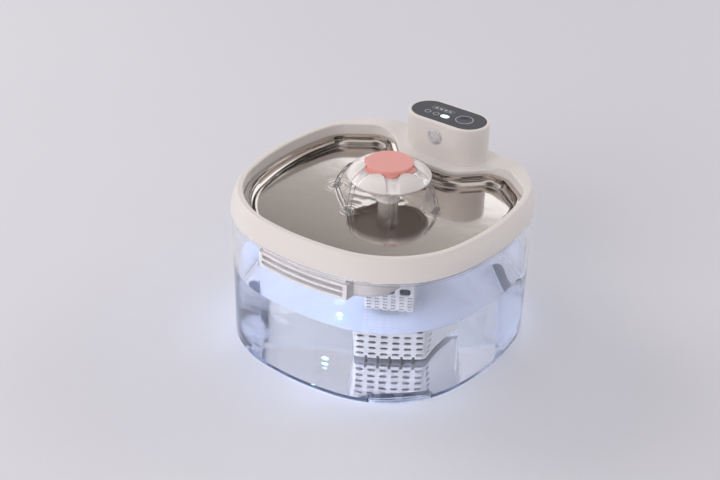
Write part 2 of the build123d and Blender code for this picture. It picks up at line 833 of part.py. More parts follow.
board_top = pod_roof_bottom - board_thickness
with BuildPart() as circuit_board:
    with BuildSketch(Plane.XY.offset(board_top - board_thickness)):
        add(pod_plan(pod_radius - pod_wall - slip_gap))
    extrude(amount=board_thickness)
    # Notch for the sensor in the front edge
    with BuildSketch(Plane.XY.offset(board_top)):
        with Locations((sensor_x, pod_front + pod_wall)):
            Rectangle(
                2 * (sensor_lens_radius + slip_gap),
                2 * (sensor_flange + sensor_can_length + slip_gap),
            )
    extrude(amount=-board_thickness, mode=Mode.SUBTRACT)
circuit_board.part.label = "circuit_board"
export_step(circuit_board.part, "parts/circuit_board.step")

with BuildPart() as touch_electrode:
    with BuildSketch(Plane.XY.offset(board_top)):
        with Locations((touch_x, pod_y)):
            Circle(touch_radius)
            Circle(touch_radius - touch_ring_width, mode=Mode.SUBTRACT)
    extrude(amount=display_bottom - board_top - seat_gap)
touch_electrode.part.label = "touch_electrode"
export_step(touch_electrode.part, "parts/touch_electrode.step")

with BuildPart() as indicator_leds:
    with BuildSketch(Plane.XY.offset(board_top)):
        with Locations((-touch_x / 2, pod_y + led_row)):
            with GridLocations(led_pitch, 0, 4, 1):
                Rectangle(led_size, led_size)
        with Locations((-touch_x / 2, pod_y - led_row)):
            with GridLocations(icon_pitch, 0, icon_count, 1):
                Rectangle(led_size, led_size)
    extrude(amount=led_height)
indicator_leds.part.label = "indicator_leds"
export_step(indicator_leds.part, "parts/indicator_leds.step")

with BuildPart() as display_lens:
    with BuildSketch(Plane.XY.offset(display_bottom)):
        add(pod_plan(pod_radius - display_margin - running_gap))
    extrude(amount=display_thickness)
    fillet(display_lens.edges().group_by(Axis.Z)[-1], display_edge)
display_lens.part.label = "display_lens"
export_step(display_lens.part, "parts/display_lens.step")

sensor_line = Axis((sensor_x, 0, sensor_height), (0, 1, 0))
lens_plane = Plane((sensor_x, 0, 0), x_dir=(0, 1, 0), z_dir=(1, 0, 0))
lens_back = pod_front + pod_wall
with BuildPart() as sensor_lens:
    with BuildSketch(lens_plane):
        with BuildLine():
            Line((lens_back + sensor_flange, sensor_height), (pod_front - sensor_lens_rise, sensor_height))
            TangentArc(
                (pod_front - sensor_lens_rise, sensor_height),
                (pod_front, sensor_height + sensor_lens_radius),
                tangent=(0, 1),
            )
            Polyline(
                (pod_front, sensor_height + sensor_lens_radius),
                (lens_back + seat_gap, sensor_height + sensor_lens_radius),
                (lens_back + seat_gap, sensor_height + sensor_lens_radius + sensor_flange),
                (lens_back + sensor_flange, sensor_height + sensor_lens_radius + sensor_flange),
                (lens_back + sensor_flange, sensor_height),
            )
        make_face()
    revolve(axis=sensor_line)
sensor_lens.part.label = "sensor_lens"
export_step(sensor_lens.part, "parts/sensor_lens.step")

with BuildPart() as motion_sensor:
    with BuildSketch(Plane.XZ.offset(-lens_back - sensor_flange - seat_gap)):
        with Locations((sensor_x, sensor_height)):
            Circle(sensor_can_radius)
    extrude(amount=-sensor_can_length)
motion_sensor.part.label = "motion_sensor"
export_step(motion_sensor.part, "parts/motion_sensor.step")

port_mouth = pod_back - flap_recess - running_gap
with BuildPart() as charge_socket:
    with BuildSketch(Plane.XZ.offset(-port_mouth)):
        with Locations((0, port_height)):
            RectangleRounded(port_width, port_thickness, port_corner)
            RectangleRounded(
                port_width - port_shell,
                port_thickness - port_shell,
                port_corner - port_shell / 2,
                mode=Mode.SUBTRACT,
            )
    extrude(amount=port_depth)
    with BuildSketch(Plane.XZ.offset(-port_mouth + port_depth)):
        with Locations((0, port_height)):
            RectangleRounded(port_width, port_thickness, port_corner)
    extrude(amount=port_shell)
    with BuildSketch(Plane.XZ.offset(-port_mouth + port_depth)):
        with Locations((0, port_height)):
            Rectangle(port_tongue_width, port_tongue_thickness)
    extrude(amount=port_shell - port_depth)
charge_socket.part.label = "charge_socket"
export_step(charge_socket.part, "parts/charge_socket.step")

with BuildPart() as port_flap:
    with BuildSketch(Plane.XZ.offset(-flap_axis_y)):
        with Locations((0, (flap_axis_height + flap_middle - flap_height / 2) / 2)):
            Rectangle(flap_width, flap_axis_height - flap_middle + flap_height / 2)
    extrude(amount=flap_thickness / 2, both=True)
    fillet(port_flap.edges().filter_by(Axis.Y).group_by(Axis.Z)[0], port_corner)
    with BuildSketch(Plane.YZ.offset(-flap_width / 2)):
        with Locations((flap_axis_y, flap_axis_height)):
            Circle(flap_thickness / 2)
    extrude(amount=flap_width)
port_flap.part.label = "port_flap"
export_step(port_flap.part, "parts/port_flap.step")

# ---------------------------------------------------------------- pump module
pump_plane = Plane(Location((0, hub_y, 0), (0, 0, pump_turn)))
basket_depth = basket_front + basket_back
basket_middle = (basket_back - basket_front) / 2
basket_floor_top = basket_bottom + basket_wall
basket_lid_top = basket_top + basket_lid_thickness
draft_growth = (basket_top - basket_bottom) * tan(radians(basket_draft))
column_pitch = basket_width / hole_columns
window_width = (basket_width - 2 * basket_corner_radius - 2 * window_gap) / window_count


def basket_plan(height, inset):
    """Rounded rectangle of the tapered basket at a height, moved inwards by inset."""
    growth = (height - basket_bottom) * tan(radians(basket_draft)) - inset
    with BuildSketch(pump_plane.offset(height), mode=Mode.PRIVATE) as plan:
        with Locations((basket_offset, basket_middle)):
            RectangleRounded(basket_width + 2 * growth, basket_depth + 2 * growth, basket_corner_radius)
    return plan.sketch


def upright_plane(x, y, height, turn):
    """Upright plane through a point of the pump module that faces outwards, turned about Z."""
    return Plane(pump_plane * Location((x, y, height), (0, 0, turn)) * Location((0, 0, 0), (90, 0, 0)))


with BuildPart() as pump_basket:
    loft([basket_plan(basket_bottom, 0).face(), basket_plan(basket_top, 0).face()], ruled=True)
    loft(
        [basket_plan(basket_floor_top, basket_wall).face(), basket_plan(basket_top, basket_wall).face()],
        ruled=True,
        mode=Mode.SUBTRACT,
    )
    # Front face: rows of oblong holes with windows above them
    with BuildSketch(upright_plane(basket_offset, -basket_front - draft_growth, 0, 0)):
        for row in range(hole_rows):
            with Locations((0, hole_first_row + row * hole_row_pitch)):
                with GridLocations(column_pitch, 0, hole_columns, 1):
                    SlotOverall(hole_length, hole_height)
        with Locations((0, window_sill + window_height / 2)):
            with GridLocations(window_width + window_gap, 0, window_count, 1):
                RectangleRounded(window_width, window_height, window_corner_radius)
    extrude(amount=-draft_growth - 2 * basket_wall, mode=Mode.SUBTRACT)
    # Rows of slots round the corner in both side walls
    for side in (-1, 1):
        outer_x = basket_offset + side * (basket_width / 2 + draft_growth)
        slot_middle = side * (basket_corner_radius + side_slot_length / 2)
        with BuildSketch(upright_plane(outer_x, -basket_front, 0, 90 * side)):
            for row in range(hole_rows):
                with Locations((slot_middle, hole_first_row + row * hole_row_pitch)):
                    SlotOverall(side_slot_length, hole_height)
        extrude(amount=-draft_growth - 2 * basket_wall, mode=Mode.SUBTRACT)
    # Slots in the floor, open at the front edge
    with BuildSketch(pump_plane.offset(basket_bottom)):
        with Locations((basket_offset, -basket_front + floor_slot_length / 2 - basket_wall)):
            with GridLocations(column_pitch, 0, hole_columns - 1, 1):
                Rectangle(floor_slot_width, floor_slot_length)
    extrude(amount=basket_wall, mode=Mode.SUBTRACT)
pump_basket.part.label = "pump_basket"
export_step(pump_basket.part, "parts/pump_basket.step")

with BuildPart() as basket_lid:
    extrude(basket_plan(basket_top, 0), amount=basket_lid_thickness)
    # Skirt that centres the lid in the basket
    extrude(basket_plan(basket_top, basket_wall + slip_gap), amount=-lid_skirt)
    extrude(basket_plan(basket_top, 2 * basket_wall), amount=-lid_skirt, mode=Mode.SUBTRACT)
    with Locations((0, hub_y, basket_lid_top)):
        Hole(riser_radius + slip_gap)
basket_lid.part.label = "basket_lid"
export_step(basket_lid.part, "parts/basket_lid.step")

with BuildPart() as receive_coil:
    with BuildSketch(Plane.XY.offset(basket_lid_top)):
        with Locations((0, hub_y)):
            Circle(coil_outer_radius)
            Circle(coil_inner_radius, mode=Mode.SUBTRACT)
    extrude(amount=coil_thickness)
receive_coil.part.label = "receive_coil"
export_step(receive_coil.part, "parts/receive_coil.step")

pump_width = basket_width - 2 * basket_wall - 2 * pump_side_gap
pump_back = basket_back - basket_wall - pump_side_gap
pump_front = pump_back - pump_depth
pump_top = basket_floor_top + pump_height
volute_back = pump_front + volute_depth
rotor_height = basket_floor_top + pump_height / 2
spigot_top = riser_bottom + spigot_overlap

with BuildPart() as pump_body:
    with BuildSketch(pump_plane.offset(basket_floor_top)):
        with Locations((basket_offset, (pump_front + pump_back) / 2)):
            RectangleRounded(pump_width, pump_depth, pump_corner_radius)
    extrude(amount=pump_height)
    fillet(pump_body.edges().group_by(Axis.Z)[-1], pump_edge_radius)
    # Outlet pipe, shouldered where it runs up into the riser
    with BuildSketch(Plane.XY.offset(pump_top)):
        with Locations((0, hub_y)):
            Circle(riser_radius)
    extrude(amount=riser_bottom - running_gap - pump_top)
    with BuildSketch(Plane.XY.offset(pump_top)):
        with Locations((0, hub_y)):
            Circle(riser_bore - running_gap)
    extrude(amount=spigot_top - pump_top)
    # Volute, the bore that leaves it and the socket of the shaft
    with BuildSketch(upright_plane(basket_offset, pump_front, rotor_height, 0)):
        Circle(volute_radius)
    extrude(amount=-volute_depth, mode=Mode.SUBTRACT)
    with BuildSketch(Plane.XY.offset(rotor_height)):
        with Locations((0, hub_y)):
            Circle(outlet_bore)
    extrude(amount=spigot_top - rotor_height, mode=Mode.SUBTRACT)
    with BuildSketch(upright_plane(basket_offset, volute_back, rotor_height, 0)):
        Circle(shaft_radius + seat_gap)
    extrude(amount=-shaft_socket, mode=Mode.SUBTRACT)
pump_body.part.label = "pump_body"
export_step(pump_body.part, "parts/pump_body.step")

with BuildPart() as pump_cover:
    with BuildSketch(upright_plane(basket_offset, pump_front, rotor_height, 0)):
        RectangleRounded(pump_width - slip_gap, pump_height - slip_gap, pump_corner_radius)
        Circle(intake_radius, mode=Mode.SUBTRACT)
        # Three ribs carry the front bearing of the shaft
        with PolarLocations(intake_radius / 2, intake_rib_count, start_angle=90):
            Rectangle(intake_radius + intake_rib_width, intake_rib_width)
        Circle(intake_boss_radius)
    extrude(amount=pump_cover_thickness)
    with BuildSketch(upright_plane(basket_offset, pump_front, rotor_height, 0)):
        Circle(shaft_radius + seat_gap)
    extrude(amount=shaft_seat, mode=Mode.SUBTRACT)
pump_cover.part.label = "pump_cover"
export_step(pump_cover.part, "parts/pump_cover.step")

with BuildPart() as impeller_shaft:
    with BuildSketch(upright_plane(basket_offset, volute_back + shaft_socket, rotor_height, 0)):
        Circle(shaft_radius)
    extrude(amount=shaft_socket + volute_depth + shaft_seat)
impeller_shaft.part.label = "impeller_shaft"
export_step(impeller_shaft.part, "parts/impeller_shaft.step")

blade_start = Vector(impeller_hub_radius, 0)
blade_end = Vector(impeller_radius - blade_thickness, 0).rotate(Axis.Z, -blade_sweep)
with BuildLine(mode=Mode.PRIVATE) as blade_line:
    SagittaArc(blade_start, blade_end, -blade_bow)
with BuildPart() as impeller:
    with BuildSketch(upright_plane(basket_offset, volute_back - rotor_gap, rotor_height, 0)):
        Circle(impeller_radius)
    extrude(amount=impeller_disc)
    with BuildSketch(upright_plane(basket_offset, volute_back - rotor_gap, rotor_height, 0)):
        Circle(impeller_hub_radius)
        with PolarLocations(0, blade_count):
            SlotArc(blade_line.edge(), blade_thickness)
    extrude(amount=volute_depth - 2 * rotor_gap)
    with BuildSketch(upright_plane(basket_offset, volute_back, rotor_height, 0)):
        Circle(shaft_radius + running_gap)
    extrude(amount=volute_depth, mode=Mode.SUBTRACT)
impeller.part.label = "impeller"
export_step(impeller.part, "parts/impeller.step")

foam_front = -basket_front + basket_wall + soft_gap
foam_back = pump_front - pump_cover_thickness - soft_gap
with BuildPart() as foam_filter:
    with BuildSketch(pump_plane.offset(basket_floor_top + soft_gap)):
        with Locations((basket_offset, (foam_front + foam_back) / 2)):
            RectangleRounded(
                basket_width - 2 * basket_wall - 2 * soft_gap,
                foam_back - foam_front,
                basket_corner_radius,
            )
    extrude(amount=pump_height - soft_gap)
foam_filter.part.label = "foam_filter"
export_step(foam_filter.part, "parts/foam_filter.step")
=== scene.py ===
import json
import math

import bmesh
import bpy
from mathutils import Matrix, Quaternion, Vector

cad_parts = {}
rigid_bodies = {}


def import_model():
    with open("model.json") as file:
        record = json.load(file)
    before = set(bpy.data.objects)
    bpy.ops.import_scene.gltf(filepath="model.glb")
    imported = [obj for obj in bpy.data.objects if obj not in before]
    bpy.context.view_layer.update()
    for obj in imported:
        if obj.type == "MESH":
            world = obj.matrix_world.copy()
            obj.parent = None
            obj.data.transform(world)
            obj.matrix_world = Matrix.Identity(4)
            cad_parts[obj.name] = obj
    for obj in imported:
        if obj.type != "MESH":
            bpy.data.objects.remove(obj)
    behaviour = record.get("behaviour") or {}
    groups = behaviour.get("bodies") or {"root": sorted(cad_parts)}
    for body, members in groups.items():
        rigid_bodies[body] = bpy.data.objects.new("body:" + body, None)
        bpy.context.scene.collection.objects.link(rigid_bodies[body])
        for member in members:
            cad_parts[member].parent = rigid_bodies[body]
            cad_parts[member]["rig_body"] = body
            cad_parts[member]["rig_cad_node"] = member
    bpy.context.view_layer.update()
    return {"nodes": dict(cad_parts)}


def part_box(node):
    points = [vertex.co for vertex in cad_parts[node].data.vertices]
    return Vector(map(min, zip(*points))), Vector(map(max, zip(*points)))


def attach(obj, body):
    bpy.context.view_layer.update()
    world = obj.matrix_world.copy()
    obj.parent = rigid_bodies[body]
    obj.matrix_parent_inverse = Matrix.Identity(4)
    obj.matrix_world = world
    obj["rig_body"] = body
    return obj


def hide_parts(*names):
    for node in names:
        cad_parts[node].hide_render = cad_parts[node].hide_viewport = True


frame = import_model()
nodes = frame["nodes"]
scene = bpy.context.scene

# ---------------------------------------------------------------- studio
# A pale matt table top in an even light tent, with one large softbox at the upper left, a reflector
# at the front and a screen at the back. The camera looks down on the fountain's drinking corner.
look_at = Vector((-0.0254, 0.0070, 0.060))
camera_azimuth = 0.617
camera_elevation = 0.527
camera_distance = 1.2305
camera_roll = 0.031
camera_lens = 81.275
camera_sensor_width = 36.0
# Light crosses the tank's wall, the water and its own mirror images many times before it comes out
light_bounces = 90
transparent_bounces = 24

sight = Vector(
    (
        math.sin(camera_azimuth) * math.cos(camera_elevation),
        -math.cos(camera_azimuth) * math.cos(camera_elevation),
        math.sin(camera_elevation),
    )
)
camera = bpy.data.objects.new("studio_camera", bpy.data.cameras.new("studio_camera"))
scene.collection.objects.link(camera)
camera.data.lens = camera_lens
camera.data.sensor_width = camera_sensor_width
camera.location = look_at + sight * camera_distance
camera.rotation_mode = "QUATERNION"
camera.rotation_quaternion = (-sight).to_track_quat("-Z", "Y") @ Quaternion((0, 0, 1), camera_roll)
scene.camera = camera
scene.view_settings.view_transform = "Standard"
for limit in ("max_bounces", "glossy_bounces", "transmission_bounces"):
    setattr(scene.cycles, limit, light_bounces)
scene.cycles.transparent_max_bounces = transparent_bounces


def linear(code):
    """Linear colour of an sRGB hex value, with full alpha."""
    channels = [int(code[k : k + 2], 16) / 255 for k in (1, 3, 5)]
    return [c / 12.92 if c <= 0.04045 else ((c + 0.055) / 1.055) ** 2.4 for c in channels] + [1.0]


def start_tree(owner):
    """Emptied node tree of a material or world."""
    owner.use_nodes = True
    owner.node_tree.nodes.clear()
    return owner.node_tree


def add_node(tree, kind, inputs=None, **settings):
    """Adds a shader node, sets its properties, and gives its inputs their values or links."""
    node = tree.nodes.new("ShaderNode" + kind)
    for name, value in settings.items():
        setattr(node, name, value)
    for name, value in (inputs or {}).items():
        if isinstance(value, bpy.types.NodeSocket):
            tree.links.new(value, node.inputs[name])
        else:
            node.inputs[name].default_value = value
    return node


def computed(tree, operation, *values, kind="Math"):
    """Number that a Math or VectorMath node makes of these values."""
    node = add_node(tree, kind, dict(enumerate(values)), operation=operation)
    return node.outputs["Value"]


def graded(tree, value, low, high, start=0.0, end=1.0, **settings):
    """Number that runs from low to high while value runs from start to end."""
    limits = {"Value": value, "From Min": start, "From Max": end, "To Min": low, "To Max": high}
    return add_node(tree, "MapRange", limits, **settings).outputs[0]


# Even tent as fill light on matt surfaces. Gloss sees what stands round the table: a white screen
# low at the back with a grey strip along its sloping edge, then a dark gap, a dim wall and lighter
# cloth overhead, round a darker patch high in front.
screen_edge = (0.015, 0.545, -0.838)
surrounding_levels = (
    (0.02, "#4f4b49"),
    (0.04, "#86827f"),
    (0.1, "#c6c1be"),
    (0.15, "#c6c1be"),
    (0.2, "#656260"),
    (0.40, "#2c2a28"),
    (0.455, "#3a3734"),
    (0.472, "#918d8a"),
    (0.498, "#b6b2b0"),
    (0.5, "#ffffff"),
)
# The camera sees a plain backdrop, and so does a path that was mirrored at the tank's bottom, but
# not one through a film of water
film_depth_limit = 8.5

tent = bpy.data.worlds.new("light_tent")
scene.world = tent
tent.cycles.sampling_method = "NONE"
tree = start_tree(tent)
direction = add_node(tree, "TexCoord").outputs["Generated"]
above_edge = computed(tree, "DOT_PRODUCT", direction, screen_edge, kind="VectorMath")
surroundings = add_node(tree, "ValToRGB", {"Fac": graded(tree, above_edge, 0.0, 1.0, start=-1.0)})
ramp = surroundings.color_ramp
while len(ramp.elements) < len(surrounding_levels):
    ramp.elements.new(0.5)
for element, (position, colour) in zip(ramp.elements, surrounding_levels):
    element.position = position
    element.color = linear(colour)
mirrored = add_node(tree, "Background", {"Color": surroundings.outputs["Color"], "Strength": 1.6})
tent_glow = add_node(tree, "Background", {"Color": linear("#cfcccd"), "Strength": 0.75})
backdrop = add_node(tree, "Background", {"Color": linear("#d3d7e6"), "Strength": 1.0})
ray = add_node(tree, "LightPath")
lit = add_node(
    tree,
    "MixShader",
    {0: ray.outputs["Is Diffuse Ray"], 1: mirrored.outputs[0], 2: tent_glow.outputs[0]},
)
deep = computed(tree, "GREATER_THAN", ray.outputs["Transmission Depth"], film_depth_limit)
out_of_glass = computed(tree, "MULTIPLY", deep, ray.outputs["Is Transmission Ray"])
straight = computed(tree, "MAXIMUM", ray.outputs["Is Camera Ray"], out_of_glass)
seen = add_node(tree, "MixShader", {0: straight, 1: lit.outputs[0], 2: backdrop.outputs[0]})
add_node(tree, "OutputWorld", {"Surface": seen.outputs[0]})


def new_material(name):
    """New material with its emptied node tree and its object coordinates."""
    material = bpy.data.materials.new(name)
    tree = start_tree(material)
    return material, tree, add_node(tree, "TexCoord").outputs["Object"]


def noise(tree, place, scale, detail, **more):
    """Cloudy pattern of this scale."""
    inputs = {"Vector": place, "Scale": scale, "Detail": detail, **more}
    return add_node(tree, "TexNoise", inputs).outputs["Fac"]


def follow(tree, pattern, value):
    """Shader input: a hex colour or number as it is, a pair as a run between its ends."""
    if isinstance(value, str):
        return linear(value)
    if not isinstance(value, tuple):
        return value
    low, high = value
    if not isinstance(low, str):
        return graded(tree, pattern, low, high)
    ends = {0: pattern, 6: linear(low), 7: linear(high)}
    return add_node(tree, "Mix", ends, data_type="RGBA").outputs[2]


def shade(tree, pattern, inputs, bump=None):
    """Principled shader whose pairs follow the pattern, with a bump of this strength and depth."""
    values = {name: follow(tree, pattern, value) for name, value in inputs.items()}
    if bump:
        strength, depth = bump
        relief = add_node(tree, "Bump", {"Height": pattern, "Strength": strength, "Distance": depth})
        values["Normal"] = relief.outputs[0]
    return add_node(tree, "BsdfPrincipled", values).outputs[0]


def show(tree, shader):
    """Makes the shader the material's surface."""
    add_node(tree, "OutputMaterial", {"Surface": shader})


def grained(name, scale, detail, inputs, bump=None, **more):
    """Material with one cloudy pattern of this scale and detail."""
    material, tree, place = new_material(name)
    show(tree, shade(tree, noise(tree, place, scale, detail, **more), inputs, bump))
    return material


def cover(piece, material):
    """Gives a piece made here this material alone."""
    piece.data.materials.clear()
    piece.data.materials.append(material)


bpy.ops.object.select_all(action="DESELECT")
bpy.ops.mesh.primitive_plane_add(size=8.0)
floor = bpy.context.object
floor.name = "table_top"
# Matt laminate board: even, with the faintest cloudiness
laminate = grained(
    "laminate_matt",
    scale=3.0,
    detail=2.0,
    inputs={"Base Color": ("#e2e2ea", "#e5e6ed"), "Roughness": 0.75, "IOR": 1.45},
)
cover(floor, laminate)

lamp_target = Vector((0, 0, 0.1))


def add_lamp(name, kind, energy, colour, place, **settings):
    """Lamp that only direct light sampling finds, so that clear pieces stay free of sparks."""
    lamp = bpy.data.objects.new(name, bpy.data.lights.new(name, kind))
    scene.collection.objects.link(lamp)
    lamp.location = place
    lamp.data.energy = energy
    lamp.data.color = linear(colour)[:3]
    lamp.data.cycles.use_multiple_importance_sampling = False
    for key, value in settings.items():
        setattr(lamp.data, key, value)
    return lamp


def add_softbox(name, energy, size, colour, place, glossy=True):
    """Square soft lamp aimed at the fountain."""
    lamp = add_lamp(name, "AREA", energy, colour, place, size=size)
    lamp.visible_glossy = glossy
    lamp.rotation_mode = "QUATERNION"
    lamp.rotation_quaternion = (lamp_target - lamp.location).to_track_quat("-Z", "Y")


add_softbox("softbox_left", energy=10.5, size=1.0, colour="#fffaf6", place=(-1.6, -0.1, 1.15))
# A reflector board beside the camera and a screen at the back lift the faces turned to them
for name, energy, colour, place in (
    ("reflector_front", 14.5, "#fffaf8", (-0.05, -1.75, 0.9)),
    ("screen_back", 8.5, "#fffcfc", (0.9, 1.6, 0.9)),
):
    add_softbox(name, energy, size=1.2, colour=colour, place=place, glossy=False)

# ---------------------------------------------------------------- tank
# The tank is injection moulded from clear AS, a hard styrene plastic, in one piece with its lip.
# It is polished glass clear, so its corners and lip show bright and dark refraction bands.


def dress(material, *names):
    """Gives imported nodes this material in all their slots."""
    for name in names:
        for slot in nodes[name].material_slots:
            slot.material = material


def show_clear(tree, shader, tint, thinness=None):
    """Surface that lamps shine through with this tint, and everything else where it is thin."""
    ray = add_node(tree, "LightPath")
    share = ray.outputs["Is Shadow Ray"]
    if thinness is not None:
        share = computed(tree, "MAXIMUM", thinness, share)
    pass_through = add_node(tree, "BsdfTransparent", {"Color": linear(tint)})
    both = add_node(tree, "MixShader", {0: share, 1: shader, 2: pass_through.outputs[0]})
    show(tree, both.outputs[0])


clear_as, tree, place = new_material("as_clear_polished")
# Flow waviness of the moulding, some 25 mm from crest to crest
flow = noise(tree, place, scale=40.0, detail=1.0)
polish = {"Base Color": "#fefeff", "Roughness": 0.015, "IOR": 1.5, "Transmission Weight": 1.0}
show_clear(tree, shade(tree, flow, polish, bump=(0.25, 0.0004)), "#fcfdff")
dress(clear_as, "tank")

# Foot pads of grey silicone rubber, pressed into their recesses, dull and slightly dusty
silicone = grained(
    "silicone_matt",
    scale=700.0,
    detail=3.0,
    inputs={"Base Color": ("#aeb9ce", "#c3ccdb"), "Roughness": 0.7, "IOR": 1.41},
)
dress(silicone, "foot_pads")

# ---------------------------------------------------------------- water in the tank
# Clean tap water up to 61 mm, cut from the tank's own inner faces. It laps 0.2 mm into the clear
# wall, so that no air lies between, and tints the light that falls through it faintly blue.
tank_water_level = 0.061
tank_floor_level = 0.0046
wall_overlap = 0.0002
level_margin = 0.0001
merge_distance = 0.00001
crease_angle = math.radians(30)
water_optics = {"Roughness": 0.0, "IOR": 1.333, "Transmission Weight": 1.0}


def merged_copy(node_name, piece_name):
    """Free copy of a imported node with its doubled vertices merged, left in edit mode."""
    piece = nodes[node_name].copy()
    piece.data = nodes[node_name].data.copy()
    piece.name = piece_name
    piece.parent = None
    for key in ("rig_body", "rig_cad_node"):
        del piece[key]
    scene.collection.objects.link(piece)
    bpy.ops.object.select_all(action="DESELECT")
    piece.select_set(True)
    bpy.context.view_layer.objects.active = piece
    bpy.ops.object.mode_set(mode="EDIT")
    bpy.ops.mesh.customdata_custom_splitnormals_clear()
    bpy.ops.mesh.select_all(action="SELECT")
    bpy.ops.mesh.remove_doubles(threshold=merge_distance)
    return piece


def delete_faces(piece, unwanted):
    """Deletes the faces for which unwanted(face) is true, in edit mode."""
    bpy.ops.mesh.select_all(action="DESELECT")
    for face in bmesh.from_edit_mesh(piece.data).faces:
        face.select_set(unwanted(face))
    bmesh.update_edit_mesh(piece.data)
    bpy.ops.mesh.delete(type="FACE")


def outside_the_water(face):
    """True unless the face is on the tank's floor or looks inwards from its wall."""
    middle = face.calc_center_median()
    inwards = face.normal.x * middle.x + face.normal.y * middle.y < -1e-6
    on_floor = face.normal.z > 0.9 and middle.z < 2 * tank_floor_level
    return not (middle.z > tank_floor_level - level_margin and (inwards or on_floor))


pond = merged_copy("tank", "tank_water")
delete_faces(pond, outside_the_water)
bpy.ops.mesh.select_all(action="SELECT")
bpy.ops.mesh.bisect(
    plane_co=(0, 0, tank_water_level), plane_no=(0, 0, 1), clear_outer=True, use_fill=True
)
bpy.ops.mesh.select_all(action="SELECT")
bpy.ops.mesh.normals_make_consistent(inside=False)
bpy.ops.object.mode_set(mode="OBJECT")
for vertex in pond.data.vertices:
    side = Vector((vertex.co.x, vertex.co.y, 0.0))
    vertex.co += side.normalized() * wall_overlap
    if vertex.co.z < tank_floor_level + level_margin:
        vertex.co.z -= wall_overlap
bpy.ops.object.shade_smooth_by_angle(angle=crease_angle)

clear_water = bpy.data.materials.new("water_clear")
tree = start_tree(clear_water)
show_clear(tree, shade(tree, None, {"Base Color": "#fafcff", **water_optics}), "#e8effb")
cover(pond, clear_water)
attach(pond, "tank_body")

# ---------------------------------------------------------------- lid ring
# The ring is moulded from warm white ABS with a satin texture. Its crown falls outwards and dips at
# the back to a level platform, which holds the socket of the battery pod.
white_abs, tree, place = new_material("abs_white_satin")
grain = noise(tree, place, scale=900.0, detail=3.0, Roughness=0.6)
flow = noise(tree, place, scale=25.0, detail=2.0)
moulding = {
    "Base Color": follow(tree, flow, ("#e6e0dd", "#eae5e2")),
    "Roughness": (0.36, 0.48),
    "IOR": 1.52,
}
show(tree, shade(tree, grain, moulding, bump=(0.18, 0.0002)))
dress(white_abs, "top_ring")

# ---------------------------------------------------------------- deck
# The deck with its filter tub and return grille is moulded from plain white PP, softer and a
# little waxy, and screwed to the ring from below.
white_pp = grained(
    "pp_white_waxy",
    scale=120.0,
    detail=4.0,
    inputs={
        "Base Color": ("#cdcbce", "#d5d3d5"),
        "Roughness": (0.42, 0.56),
        "IOR": 1.49,
        "Subsurface Weight": 0.05,
        "Subsurface Scale": 0.002,
    },
)
dress(white_pp, "deck")


def celled(name, scale, inputs, bump=None):
    """Material with one pattern of small cells."""
    material, tree, place = new_material(name)
    cells = add_node(tree, "TexVoronoi", {"Vector": place, "Scale": scale})
    show(tree, shade(tree, cells.outputs["Distance"], inputs, bump))
    return material


# Screws of zinc plated steel
zinc = celled(
    "zinc_plated_steel",
    scale=1500.0,
    inputs={"Base Color": "#c3c6ca", "Metallic": 1.0, "Roughness": (0.28, 0.42)},
)
dress(zinc, "deck_screws")

# ---------------------------------------------------------------- steel tray
# Deep-drawn 304 stainless sheet with a rolled rim. The press leaves it bright, with faint drawing
# lines that run level all round the wall.


def stretched(tree, place, scale):
    """Coordinates times a factor per axis, which draws a pattern out along the small ones."""
    return add_node(tree, "Mapping", {"Vector": place, "Scale": scale}).outputs[0]


stainless, tree, place = new_material("stainless_steel_drawn")
lines = noise(tree, stretched(tree, place, (60.0, 60.0, 2600.0)), scale=1.0, detail=4.0)
sheet = {"Base Color": "#cbc4bf", "Metallic": 1.0, "Roughness": (0.025, 0.07)}
show(tree, shade(tree, lines, sheet, bump=(0.08, 0.0001)))
dress(stainless, "steel_tray")

# ---------------------------------------------------------------- water on the tray
# A film 1.2 mm deep that wets the drawn corner and is ruffled by rings where the jets land. It is
# cut from the tray's own upper faces and reaches a little into its floor.
film_top = 0.106
tray_floor_level = 0.1048
floor_clearance = 0.00002
floor_overlap = 0.00005
hub = Vector((0.0, 0.0055, 0.0))
jet_angles = [math.radians(10 + 60 * k) for k in range(6)]
jet_reach = (0.0384, 0.0372, 0.038, 0.0419, 0.0348, 0.0348)
landings = [
    Vector((hub.x + reach * math.cos(angle), hub.y + reach * math.sin(angle), film_top))
    for angle, reach in zip(jet_angles, jet_reach)
]
# Rings 3.3 mm apart that die out 12 mm from where each jet lands
ring_radians_per_metre = 1900.0
ring_spread = 0.012

film = merged_copy("steel_tray", "tray_water")
cuts = ((tray_floor_level + floor_clearance, -1), (film_top, 1))
for level, outwards in cuts:
    bpy.ops.mesh.select_all(action="SELECT")
    bpy.ops.mesh.bisect(
        plane_co=(0, 0, level), plane_no=(0, 0, outwards), clear_outer=True, use_fill=False
    )
# Only the inner side of the drawn corner stays, and the two cuts are closed again
delete_faces(film, lambda face: face.normal.z < 0.05)
for level, outwards in cuts:
    bpy.ops.mesh.select_all(action="DESELECT")
    for edge in bmesh.from_edit_mesh(film.data).edges:
        if edge.is_boundary and all(abs(vertex.co.z - level) < 1e-6 for vertex in edge.verts):
            edge.select_set(True)
    bmesh.update_edit_mesh(film.data)
    bpy.ops.mesh.edge_face_add()
bpy.ops.mesh.select_all(action="SELECT")
bpy.ops.mesh.normals_make_consistent(inside=False)
bpy.ops.object.mode_set(mode="OBJECT")
for vertex in film.data.vertices:
    if vertex.co.z < tray_floor_level + level_margin:
        vertex.co.z = tray_floor_level - floor_overlap
bpy.ops.object.shade_smooth_by_angle(angle=crease_angle)

ruffled_water, tree, place = new_material("water_ruffled")
chop = noise(tree, place, scale=64.0, detail=1.0)
